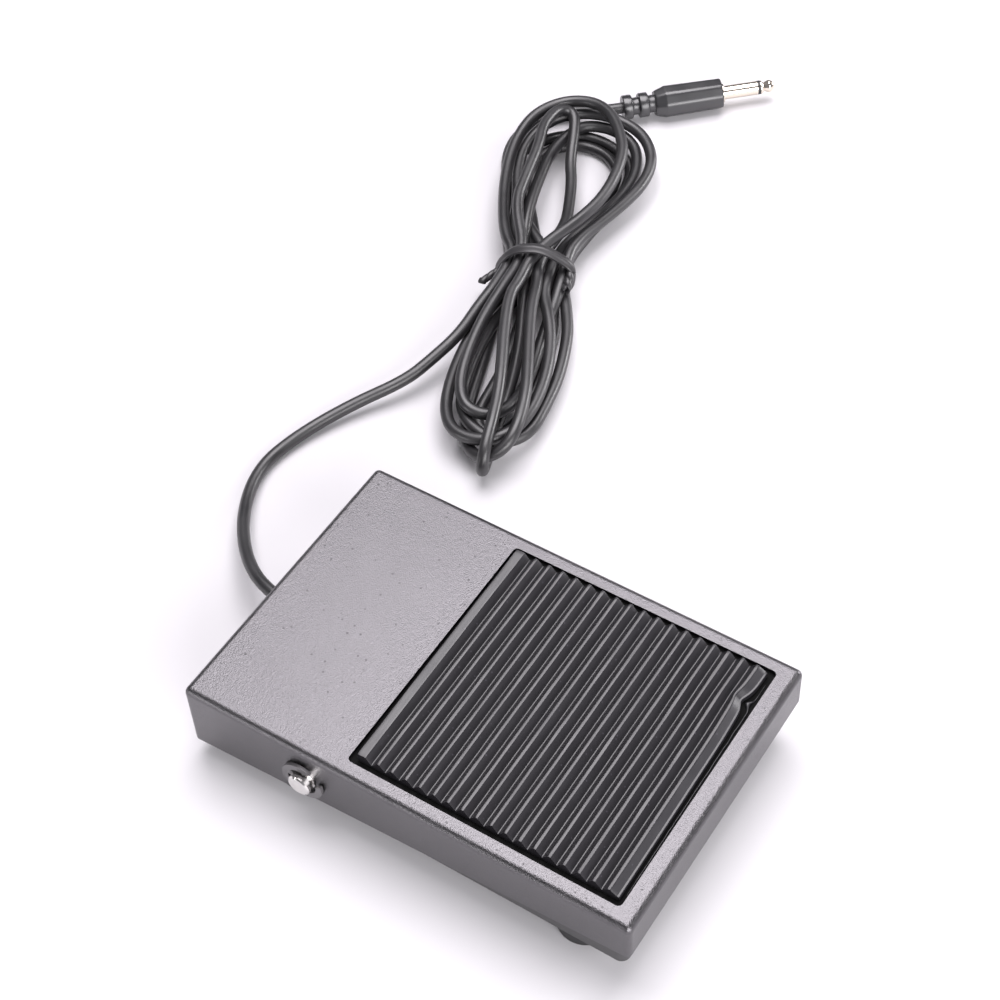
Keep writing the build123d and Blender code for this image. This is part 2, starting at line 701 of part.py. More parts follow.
def report_tube(name, piece, path, diameter):
    """Print a tube's length, its smallest radius and its volume against section times length."""
    arcs = [edge.radius for edge in path.edges() if edge.geom_type == GeomType.CIRCLE]
    wanted = math.pi * diameter**2 / 4 * path.length
    print(name, "length", round(path.length, 1), "smallest radius", round(min(arcs), 1),
          "volume ratio", round(piece.part.volume / wanted, 4))


# Two insulated wires run from the switch under the pin to the end of the cord's jacket.
wire_z = tray_floor + terminal_height


def wire_route(terminal_y, first_run, bends, end_x):
    """The route of a wire from a terminal's sleeve to its place in the cord's jacket."""
    rises = (0, 0, wire_rise)
    return [
        (sleeve_end_x, terminal_y, wire_z),
        (sleeve_end_x - first_run, terminal_y, wire_z),
        *[(x, pivot_y + back, wire_z + rise) for (x, back), rise in zip(bends, rises)],
        (end_x, jacket_end_y - wire_last_run, cord_height),
        (end_x, jacket_end_y, cord_height),
    ]


half_pair = wire_pair_spacing / 2
inner_wire_route = wire_route(terminal_ys[2], inner_wire_first_run, inner_wire_bends, half_pair)
outer_wire_route = wire_route(terminal_ys[1], outer_wire_first_run, outer_wire_bends, -half_pair)
inner_lead_wire, inner_wire_path = tube(inner_wire_route, wire_diameter)
outer_lead_wire, outer_wire_path = tube(outer_wire_route, wire_diameter)
report_tube("inner_lead_wire", inner_lead_wire, inner_wire_path, wire_diameter)
report_tube("outer_lead_wire", outer_lead_wire, outer_wire_path, wire_diameter)
pieces["inner_lead_wire"] = inner_lead_wire
pieces["outer_lead_wire"] = outer_lead_wire

with BuildPart() as wire_sleeves:
    with BuildSketch(Plane.YZ.offset(terminal_end_x)):
        with Locations((terminal_ys[1], wire_z), (terminal_ys[2], wire_z)):
            Circle(sleeve_diameter / 2)
    extrude(amount=-sleeve_length)
pieces["wire_sleeves"] = wire_sleeves

# The hank has its own frame: along its long axis, across it, and up, from the middle of the waist.
hank_along = Vector(math.cos(math.radians(hank_angle)), math.sin(math.radians(hank_angle)), 0)
hank_across = Vector(-math.sin(math.radians(hank_angle)), math.cos(math.radians(hank_angle)), 0)


def in_hank(along, across, height):
    """A point given in the hank's frame."""
    return Vector(waist_x, waist_y, height) + hank_along * along + hank_across * across


def hank_heading(along, across, rise=0.0):
    """A direction given in the hank's frame."""
    return (hank_along * along + hank_across * across + Vector(0, 0, rise)).normalized()


def inward_steps(crossing):
    """How many steps inward the cord lies at a crossing: it spirals in, then out, then in again."""
    layer, place = divmod(min(crossing, 4 * crossings_per_layer - 1), crossings_per_layer)
    steps = place if layer % 2 == 0 else crossings_per_layer - 1 - place
    return steps - max(0, crossing - 4 * crossings_per_layer + 1)


def layer_height(crossing):
    """The height of the layer that holds a crossing, the first crossing being on top."""
    layer = min(crossing // crossings_per_layer, 3)
    return hank_floor_z + layer_step * (3 - layer)


def waist_offset(crossing):
    """How far from the middle of the waist the cord lies at a crossing."""
    return waist_inner_offset + waist_step * (crossings_per_layer - 1 - inward_steps(crossing))


def lobe_arm(reach, half_width, offset):
    """The tangent arm at a lobe's tip for an arc of the half width that meets an arc from the waist."""
    run = reach - half_width
    waist_radius = (run**2 + offset**2 - half_width**2) / (2 * (half_width - offset))
    turn = math.acos(-run / (waist_radius + half_width))
    return half_width * math.tan(turn / 2)


def biarc_from_tip(tip, tip_heading, waist, waist_heading, arm):
    """Where two tangent arcs from a lobe's tip to the waist meet, and their direction there."""
    gap = waist - tip
    waist_arm = (gap.dot(gap) / 2 - arm * gap.dot(tip_heading)) / (
        gap.dot(waist_heading) + arm * (1 - tip_heading.dot(waist_heading))
    )
    first = tip + tip_heading * arm
    second = waist - waist_heading * waist_arm
    return first + (second - first) * (arm / (arm + waist_arm)), (second - first).normalized()


last_crossing = 4 * crossings_per_layer
with BuildLine() as hank_line:
    start_across = waist_offset(0)
    hank_start = in_hank(-hank_lead_in, start_across, layer_height(0))
    Line(hank_start, in_hank(0, start_across, layer_height(0)))
    for crossing in range(last_crossing):
        side = 1 if crossing % 2 == 0 else -1
        here = in_hank(0, side * waist_offset(crossing), layer_height(crossing))
        there = in_hank(0, -side * waist_offset(crossing + 1), layer_height(crossing + 1))
        steps = (inward_steps(crossing) + inward_steps(crossing + 1)) / 2
        reach = (right_reach if side == 1 else left_reach) - lobe_step * steps
        half_width = (right_half_width if side == 1 else left_half_width) - lobe_step * steps
        drop = layer_height(crossing + 1) - layer_height(crossing)
        tip = in_hank(side * reach, 0, layer_height(crossing) + drop / 2)
        tip_heading = hank_heading(0, -side, climb_slope * drop / layer_step)
        out_heading = hank_heading(side, 0)
        back_heading = hank_heading(-side, 0)
        arm = lobe_arm(reach, half_width, waist_offset(crossing))
        join, join_heading = biarc_from_tip(tip, -tip_heading, here, -out_heading, arm)
        TangentArc(here, join, tangent=out_heading)
        TangentArc(join, tip, tangent=-join_heading)
        arm = lobe_arm(reach, half_width, waist_offset(crossing + 1))
        join, join_heading = biarc_from_tip(tip, tip_heading, there, back_heading, arm)
        TangentArc(tip, join, tangent=tip_heading)
        TangentArc(join, there, tangent=join_heading)
    end_across = waist_offset(last_crossing)
    hank_end = in_hank(hank_lead_out, end_across, hank_floor_z)
    Line(in_hank(0, end_across, hank_floor_z), hank_end)

hank_path = hank_line.wires()[0]
with BuildPart() as cord_hank:
    with BuildSketch(Plane(hank_start, z_dir=hank_along)):
        Circle(cord_radius)
    sweep(path=hank_path)
pieces["cord_hank"] = cord_hank
report_tube("cord_hank", cord_hank, hank_path, cord_diameter)


def least_gap(path, diameter, step=1.5, apart=12.0):
    """The smallest gap that a wound tube leaves to itself, measured on points along it."""
    count = round(path.length / step)
    points = [path.position_at(place / count) for place in range(count + 1)]
    skip = math.ceil(apart / step)
    nearest = min(
        (first - second).length
        for place, first in enumerate(points)
        for second in points[place + skip :]
    )
    return nearest - diameter


print("cord_hank least gap to itself", round(least_gap(hank_path, cord_diameter), 2))

# The lead runs from the grommet over the floor and climbs onto the hank.
lead_route = [
    (0, grommet_outer_y, cord_height),
    (0, 58.0, cord_height),
    (6.0, 68.0, 7.0),
    (16.5, 78.5, 3.2),
    (30.0, 84.0, 1.7),
    (43.0, 80.5, 1.9),
    (57.0, 73.5, 4.0),
    (67.5, 68.5, 6.5),
    (78.5, 63.5, 9.4),
    tuple(hank_start - hank_along * lead_last_run),
    tuple(hank_start),
]
cord_lead, lead_path = tube(lead_route, cord_diameter)
pieces["cord_lead"] = cord_lead
report_tube("cord_lead", cord_lead, lead_path, cord_diameter)

# The plug lies on the floor along its own axis, and the tail reaches it round the hank's right lobe.
plug_heading = Vector(math.cos(math.radians(plug_angle)), math.sin(math.radians(plug_angle)), 0)
plug_height = plug_body_width / 2 + plug_floor_gap
boot_start = Vector(waist_x + plug_beyond_waist_x, waist_y + plug_beyond_waist_y, plug_height)
tail_route = [
    tuple(hank_end),
    tuple(hank_end + hank_along * tail_first_run),
    *[
        tuple(in_hank(right_reach + beyond, right_half_width + outward, hank_floor_z + rise))
        for beyond, outward, rise in tail_bends
    ],
    tuple(boot_start - plug_heading * tail_last_run),
    tuple(boot_start),
]
cord_tail, tail_path = tube(tail_route, cord_diameter)
pieces["cord_tail"] = cord_tail
report_tube("cord_tail", cord_tail, tail_path, cord_diameter)
print("cord length in all", round(lead_path.length + hank_path.length + tail_path.length))

# The tie is a taut strap round the waist, with a raised core and a twisted end.
strap_corners = [
    (-waist_offset(5), hank_floor_z),
    (-waist_offset(5), layer_height(5)),
    (-waist_offset(1), layer_height(1)),
    (waist_offset(0), layer_height(0)),
    (waist_offset(last_crossing), hank_floor_z),
]


strap_plane = Plane(in_hank(0, 0, 0), x_dir=hank_across, z_dir=hank_along)
strap_bore = cord_radius + tie_clearance
with BuildPart() as twist_tie:
    bands = ((tie_thickness, tie_width), (tie_thickness + tie_core_rise, tie_core_width))
    for rise, band_width in bands:
        with BuildSketch(strap_plane):
            with BuildLine():
                for corner in strap_corners:
                    CenterArc(corner, strap_bore + rise, 0, 360)
            make_hull()
        extrude(amount=band_width / 2, both=True)
    with BuildSketch(strap_plane):
        with BuildLine():
            for corner in strap_corners:
                CenterArc(corner, strap_bore, 0, 360)
        make_hull()
    extrude(amount=tie_width, both=True, mode=Mode.SUBTRACT)
    tail_across = waist_offset(last_crossing) + cord_radius + tie_clearance + tie_thickness / 2
    tail_root = in_hank(0, tail_across, tie_tail_height)
    tail_heading = hank_heading(-0.9, 0.43)
    tail_side = Vector(0, 0, 1)
    for place in range(tie_tail_sections + 1):
        share = place / tie_tail_sections
        centre = tail_root + tail_heading * (tie_tail_length * share)
        section = Plane(centre, x_dir=tail_side, z_dir=tail_heading)
        with BuildSketch(section.rotated((0, 0, tie_tail_twist * place))):
            Rectangle(tie_tail_width, tie_tail_thickness)
    loft(ruled=True)
pieces["twist_tie"] = twist_tie

# The plug: a moulded body with a ribbed boot, and a contact pin in three pieces.
plug_plane = Plane(boot_start, x_dir=(0, 0, 1), z_dir=plug_heading)
boot_length = boot_rib_count * (boot_rib_length + boot_slot_length)
with BuildPart() as plug_body:
    with BuildSketch(plug_plane):
        Circle(boot_core_diameter / 2)
    extrude(amount=boot_length)
    for rib in range(boot_rib_count):
        with BuildSketch(plug_plane.offset(rib * (boot_rib_length + boot_slot_length))):
            Circle(boot_rib_diameter / 2)
        extrude(amount=boot_rib_length)
    with BuildSketch(plug_plane.offset(boot_length)):
        RegularPolygon(boot_rib_diameter / 2, 8, major_radius=False, rotation=22.5)
    with BuildSketch(plug_plane.offset(boot_length + plug_body_ramp)):
        RegularPolygon(plug_body_width / 2, 8, major_radius=False, rotation=22.5)
    loft()
    with BuildSketch(plug_plane.offset(boot_length + plug_body_ramp)):
        RegularPolygon(plug_body_width / 2, 8, major_radius=False, rotation=22.5)
    extrude(amount=plug_body_length - plug_body_ramp, taper=plug_body_taper)
pieces["plug_body"] = plug_body

plug_face = boot_length + plug_body_length
with BuildPart() as plug_sleeve:
    with BuildSketch(plug_plane.offset(plug_face)):
        Circle(plug_collar_diameter / 2)
    extrude(amount=plug_collar_length)
    with BuildSketch(plug_plane.offset(plug_face)):
        Circle(plug_pin_diameter / 2)
    extrude(amount=plug_sleeve_length)
pieces["plug_sleeve"] = plug_sleeve

with BuildPart() as plug_insulator:
    with BuildSketch(plug_plane.offset(plug_face + plug_sleeve_length)):
        Circle(plug_pin_diameter / 2)
    extrude(amount=plug_insulator_length)
pieces["plug_insulator"] = plug_insulator

tip_plane = plug_plane.offset(plug_face + plug_sleeve_length + plug_insulator_length)
with BuildPart() as plug_tip:
    with BuildSketch(Plane(tip_plane.origin, x_dir=tip_plane.z_dir, z_dir=tip_plane.y_dir)):
        with BuildLine():
            full = plug_pin_diameter / 2
            neck = plug_tip_neck_diameter / 2
            nose_start = (tip_bulge_place, full * tip_bulge_share)
            nose_end = (plug_tip_length, plug_tip_nose_diameter / 2)
            nose_along = (nose_start[0] + nose_end[0]) / 2 + tip_nose_bow
            nose_out = (nose_start[1] + nose_end[1]) / 2 + tip_nose_bow
            Polyline((0, 0), (0, full), (tip_shoulder, full), (tip_neck_place, neck), nose_start)
            ThreePointArc(nose_start, (nose_along, nose_out), nose_end)
            Polyline(nose_end, (plug_tip_length, 0), (0, 0))
        make_face()
    revolve(axis=Axis(tip_plane.origin, tip_plane.z_dir))
pieces["plug_tip"] = plug_tip

for name, piece in pieces.items():
    piece.part.label = name
    export_step(piece.part, "parts/" + name + ".step")
print("pieces", len(pieces))
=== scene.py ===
import math

import bmesh
import bpy
from mathutils import Matrix, Vector, noise


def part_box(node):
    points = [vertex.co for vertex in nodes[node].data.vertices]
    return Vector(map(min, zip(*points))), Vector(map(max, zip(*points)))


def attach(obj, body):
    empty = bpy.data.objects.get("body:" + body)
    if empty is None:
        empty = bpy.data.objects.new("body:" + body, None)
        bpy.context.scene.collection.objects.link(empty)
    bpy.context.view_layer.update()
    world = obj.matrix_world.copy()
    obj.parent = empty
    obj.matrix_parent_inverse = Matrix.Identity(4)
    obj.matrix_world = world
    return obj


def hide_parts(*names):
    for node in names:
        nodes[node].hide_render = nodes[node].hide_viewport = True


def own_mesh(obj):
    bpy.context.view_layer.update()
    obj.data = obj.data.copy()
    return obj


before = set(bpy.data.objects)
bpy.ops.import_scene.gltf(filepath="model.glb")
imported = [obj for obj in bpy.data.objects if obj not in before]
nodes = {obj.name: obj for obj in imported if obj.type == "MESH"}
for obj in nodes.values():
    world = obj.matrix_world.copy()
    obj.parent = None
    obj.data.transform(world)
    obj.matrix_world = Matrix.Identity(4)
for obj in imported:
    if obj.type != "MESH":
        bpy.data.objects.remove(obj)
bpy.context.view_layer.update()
MM = 0.001


# Camera, floor and lights
camera_data = bpy.data.cameras.new("camera")
camera_data.sensor_width = 36.0
camera_data.lens = 77.2826
camera_data.clip_start = 0.01
camera_data.clip_end = 20.0
camera = bpy.data.objects.new("camera", camera_data)
bpy.context.scene.collection.objects.link(camera)
camera.matrix_world = Matrix((
    (0.539607, 0.660900, -0.521571, -0.191636),
    (-0.841136, 0.396524, -0.367773, -0.139271),
    (-0.036246, 0.637166, 0.769874, 0.360452),
    (0, 0, 0, 1),
))
bpy.context.scene.camera = camera
bpy.context.scene.view_settings.view_transform = "Standard"

world = bpy.data.worlds.new("studio")
world.use_nodes = True
background = world.node_tree.nodes["Background"]
background.inputs["Color"].default_value = (0.95, 0.94, 1.0, 1)
background.inputs["Strength"].default_value = 0.25
bpy.context.scene.world = world


def softbox(name, place, aim, width, height, power, colour=(1.0, 1.0, 1.0)):
    """A rectangular studio light at a place, turned to face another place."""
    data = bpy.data.lights.new(name, "AREA")
    data.shape = "RECTANGLE"
    data.size = width
    data.size_y = height
    data.energy = power
    data.color = colour
    light = bpy.data.objects.new(name, data)
    light.location = place
    light.rotation_mode = "QUATERNION"
    light.rotation_quaternion = (Vector(aim) - Vector(place)).to_track_quat("-Z", "Y")
    bpy.context.scene.collection.objects.link(light)


# The paint mirrors the key light in its top and the lit floor in its walls, and no light in its bends
softbox("key", (0.35, 0.17, 1.05), (0.05, 0.03, 0.0), 0.96, 0.96, 18.0, (1.0, 0.965, 1.0))
softbox("front_left", (-0.5, -0.98, 0.5), (0.03, 0.0, 0.0), 1.1, 0.8, 18.0, (1.0, 0.98, 1.0))
softbox("front_right", (1.15, -0.62, 0.28), (0.06, -0.12, 0.0), 0.6, 0.3, 8.0, (1.0, 0.98, 1.0))
softbox("rear_left", (-1.0, 0.55, 0.2), (-0.02, 0.0, 0.0), 0.5, 0.3, 2.5, (1.0, 0.98, 1.0))


# Materials: only cells whose random shade passes the rarity hold a speck
speck_rarity = 0.93


def shader(name, colour, roughness, metallic=0.0, specular=0.5, mottle=0.12, mottle_scale=90.0,
           grain=0.3, grain_scale=2500.0, grain_depth=0.00003, swell=0.0, swell_scale=700.0,
           gloss_spread=0.08, specks=0.0, speck_scale=900.0, stretch=(1, 1, 1)):
    """A procedural finish: colour mottling, uneven gloss, a two-scale relief and dark or light specks."""
    material = bpy.data.materials.new(name)
    material.use_nodes = True
    tree = material.node_tree
    links = tree.links
    surface = tree.nodes["Principled BSDF"]
    surface.inputs["Metallic"].default_value = metallic
    surface.inputs["Specular IOR Level"].default_value = specular

    def node(kind, **settings):
        made = tree.nodes.new(kind)
        for key, value in settings.items():
            if key in made.inputs:
                made.inputs[key].default_value = value
            else:
                setattr(made, key.lower(), value)
        return made

    place = node("ShaderNodeTexCoord")
    mapping = node("ShaderNodeMapping", Scale=stretch)
    links.new(place.outputs["Object"], mapping.inputs["Vector"])

    def cloud(scale, detail=3.0):
        made = node("ShaderNodeTexNoise", Scale=scale, Detail=detail)
        links.new(mapping.outputs["Vector"], made.inputs["Vector"])
        return made.outputs["Fac"]

    def spread(source, low, high, from_low=0.3, from_high=0.7):
        made = node("ShaderNodeMapRange")
        made.inputs["From Min"].default_value = from_low
        made.inputs["From Max"].default_value = from_high
        made.inputs["To Min"].default_value = low
        made.inputs["To Max"].default_value = high
        links.new(source, made.inputs["Value"])
        return made.outputs["Result"]

    patches = cloud(mottle_scale)
    fine = cloud(grain_scale, 2.0)
    tint = node("ShaderNodeMix", data_type="RGBA")
    tint.inputs[6].default_value = (*[c * (1 - mottle) for c in colour], 1)
    tint.inputs[7].default_value = (*[min(1, c * (1 + mottle)) for c in colour], 1)
    links.new(spread(patches, 0, 1), tint.inputs[0])
    shade = tint.outputs[2]
    if specks:
        dots = node("ShaderNodeTexVoronoi", Scale=speck_scale)
        links.new(mapping.outputs["Vector"], dots.inputs["Vector"])
        rare = node("ShaderNodeMath", operation="GREATER_THAN")
        rare.inputs[1].default_value = speck_rarity
        split = node("ShaderNodeSeparateColor")
        links.new(dots.outputs["Color"], split.inputs["Color"])
        links.new(split.outputs["Red"], rare.inputs[0])
        small = spread(dots.outputs["Distance"], 1, 0, 0.12, 0.3)
        both = node("ShaderNodeMath", operation="MULTIPLY")
        links.new(rare.outputs["Value"], both.inputs[0])
        links.new(small, both.inputs[1])
        speckled = node("ShaderNodeMix", data_type="RGBA")
        speckled.inputs[7].default_value = (*[min(1, c * (1 - specks)) for c in colour], 1)
        links.new(both.outputs["Value"], speckled.inputs[0])
        links.new(shade, speckled.inputs[6])
        shade = speckled.outputs[2]
    links.new(shade, surface.inputs["Base Color"])
    gloss = spread(patches, max(0.02, roughness - gloss_spread), min(1, roughness + gloss_spread))
    links.new(gloss, surface.inputs["Roughness"])
    relief = node("ShaderNodeBump", Strength=grain, Distance=grain_depth)
    links.new(fine, relief.inputs["Height"])
    if swell:
        peel = node("ShaderNodeBump", Strength=swell, Distance=grain_depth * 4)
        links.new(cloud(swell_scale, 1.0), peel.inputs["Height"])
        links.new(peel.outputs["Normal"], relief.inputs["Normal"])
    links.new(relief.outputs["Normal"], surface.inputs["Normal"])
    return material


finishes = {
    "cover_paint": shader("cover_paint", (0.135, 0.131, 0.137), 0.31, metallic=1.0, mottle=0.06, mottle_scale=60,
                          grain=1.0, grain_scale=4200, grain_depth=0.00008, swell=0.1, swell_scale=1300,
                          gloss_spread=0.03, specks=0.45, speck_scale=900),
    # Near-black painted shade, put on the plate to stand in for the shadow in the gap round the tread
    "painted_shade_black": shader("painted_shade_black", (0.003, 0.003, 0.003), 0.7, specular=0.1, mottle=0.2, grain=0.3),
    "tray_paint": shader("tray_paint", (0.05, 0.049, 0.051), 0.42, specular=0.5, grain=0.4, grain_scale=2200,
                         swell=0.25),
    "tread_rubber": shader("tread_rubber", (0.014, 0.013, 0.016), 0.40, specular=0.85, mottle=0.12,
                           grain=0.3, grain_scale=3200, gloss_spread=0.05, specks=-3.0, speck_scale=1400),
    "foot_rubber": shader("foot_rubber", (0.018, 0.018, 0.019), 0.55, mottle=0.18, grain=0.4, grain_scale=1800),
    "grommet_rubber": shader("grommet_rubber", (0.016, 0.016, 0.017), 0.5, mottle=0.18, grain=0.35),
    "pin_nickel": shader("pin_nickel", (0.78, 0.76, 0.74), 0.16, metallic=1.0, mottle=0.05, grain=0.12,
                         grain_scale=1500, stretch=(1, 8, 8), gloss_spread=0.05),
    "clip_steel": shader("clip_steel", (0.16, 0.155, 0.16), 0.38, metallic=0.55, mottle=0.12, grain=0.3,
                         grain_scale=2400),
    "bright_steel": shader("bright_steel", (0.56, 0.56, 0.57), 0.32, metallic=1.0, mottle=0.08, grain=0.3,
                           grain_scale=1400, stretch=(6, 1, 1)),
    "zinc_screw": shader("zinc_screw", (0.60, 0.60, 0.58), 0.28, metallic=1.0, mottle=0.15, mottle_scale=500,
                         grain=0.25),
    "spring_steel": shader("spring_steel", (0.50, 0.50, 0.51), 0.25, metallic=1.0, mottle=0.12, grain=0.2,
                           grain_scale=3000),
    "rivet_aluminium": shader("rivet_aluminium", (0.72, 0.73, 0.74), 0.35, metallic=1.0, mottle=0.08, grain=0.3),
    "switch_plastic": shader("switch_plastic", (0.020, 0.020, 0.022), 0.35, mottle=0.12, grain=0.3,
                             grain_scale=3800),
    "plunger_plastic": shader("plunger_plastic", (0.55, 0.10, 0.06), 0.35, mottle=0.08, grain=0.15),
    "clamp_plastic": shader("clamp_plastic", (0.72, 0.70, 0.64), 0.42, mottle=0.05, grain=0.2, grain_scale=2000),
    "terminal_brass": shader("terminal_brass", (0.62, 0.46, 0.20), 0.28, metallic=1.0, mottle=0.12, grain=0.2),
    "cord_jacket": shader("cord_jacket", (0.013, 0.0125, 0.014), 0.40, specular=0.85, mottle=0.18, mottle_scale=140,
                          grain=0.3, grain_scale=2800, gloss_spread=0.07),
    "wire_red": shader("wire_red", (0.45, 0.02, 0.02), 0.38, mottle=0.1, grain=0.15),
    "wire_white": shader("wire_white", (0.75, 0.74, 0.70), 0.38, mottle=0.05, grain=0.15),
    "sleeve_black": shader("sleeve_black", (0.02, 0.02, 0.02), 0.48, mottle=0.2, grain=0.4),
    "tie_plastic": shader("tie_plastic", (0.026, 0.025, 0.027), 0.42, specular=0.7, mottle=0.15, grain=0.25,
                          grain_scale=2200),
    "plug_plastic": shader("plug_plastic", (0.016, 0.016, 0.018), 0.34, specular=1.0, mottle=0.15, grain=0.25,
                           grain_scale=3000),
    "plug_nickel": shader("plug_nickel", (0.82, 0.74, 0.64), 0.14, metallic=1.0, mottle=0.06, grain=0.1,
                          grain_scale=1800, gloss_spread=0.05),
    "insulator_plastic": shader("insulator_plastic", (0.02, 0.02, 0.02), 0.4, mottle=0.15, grain=0.2),
}
for node in nodes.values():
    for place in node.material_slots:
        place.material = finishes[place.material.name]
# The plate is coloured near-black as painted shade, standing in for the shadow in the gap round the tread
for place in nodes["pad_plate"].material_slots:
    place.material = finishes["painted_shade_black"]

floor_half = 4.0
floor_finish = shader("floor_finish", (0.66, 0.652, 0.668), 0.62, specular=0.2, mottle=0.008, mottle_scale=6,
                      grain=0.04, grain_scale=500, gloss_spread=0.03)
floor_mesh = bpy.data.meshes.new("floor")
floor_mesh.from_pydata([(x * floor_half, y * floor_half, 0) for x, y in ((-1, -1), (1, -1), (1, 1), (-1, 1))],
                       [], [(0, 1, 2, 3)])
floor = bpy.data.objects.new("floor", floor_mesh)
floor.data.materials.append(floor_finish)
bpy.context.scene.collection.objects.link(floor)


def add_piece(name, mesh, slot, body, angle=35.0):
    """A named piece with its finish, riding on a body."""
    piece = bpy.data.objects.new(name, mesh)
    bpy.context.scene.collection.objects.link(piece)
    mesh.materials.append(finishes[slot])
    if angle and isinstance(mesh, bpy.types.Mesh):
        mesh.shade_smooth()
        mesh.set_sharp_from_angle(angle=math.radians(angle))
    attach(piece, body)
    return piece


def skin(name, rings, closed=False):
    """A mesh through rings of points, each ring with the same count."""
    points = [p for ring in rings for p in ring]
    count = len(rings[0])
    faces = []
    last = len(rings) if closed else len(rings) - 1
    for r in range(last):
        a, b = r * count, (r + 1) % len(rings) * count
        for k in range(count):
            n = (k + 1) % count
            faces.append((a + k, a + n, b + n, b + k))
    if not closed:
        faces.append(tuple(reversed(range(count))))
        faces.append(tuple(range(len(points) - count, len(points))))
    mesh = bpy.data.meshes.new(name)
    mesh.from_pydata([Vector(p) * MM for p in points], [], faces)
    built = bmesh.new()
    built.from_mesh(mesh)
    bmesh.ops.recalc_face_normals(built, faces=built.faces)
    built.to_mesh(mesh)
    built.free()
    return mesh


def cord_curve(name, points, diameter, slot, body):
    """A round cord on one open NURBS spline through its route's points, in millimetres."""
    data = bpy.data.curves.new(name, "CURVE")
    data.dimensions = "3D"
    spline = data.splines.new("NURBS")
    spline.points.add(len(points) - 1)
    for place, point in zip(spline.points, points):
        place.co = (*(Vector(point) * MM), 1.0)
    spline.order_u = 3
    spline.use_endpoint_u = True
    spline.resolution_u = 8
    data.bevel_depth = diameter * MM / 2
    data.bevel_resolution = 5
    data.use_fill_caps = True
    return add_piece(name, data, slot, body)


# The cord: a lead over the floor, six loops tied in a hank, and a tail to the plug
cord_diameter = 2.8
hank_turn = math.radians(19.0)
waist = Vector((113.0, 61.0, 0.0))
along = Vector((math.cos(hank_turn), math.sin(hank_turn), 0))
across = Vector((-math.sin(hank_turn), math.cos(hank_turn), 0))


def in_hank(point):
    """A point from the hank's frame: along it, across it, and up."""
    return waist + along * point[0] + across * point[1] + Vector((0, 0, point[2]))


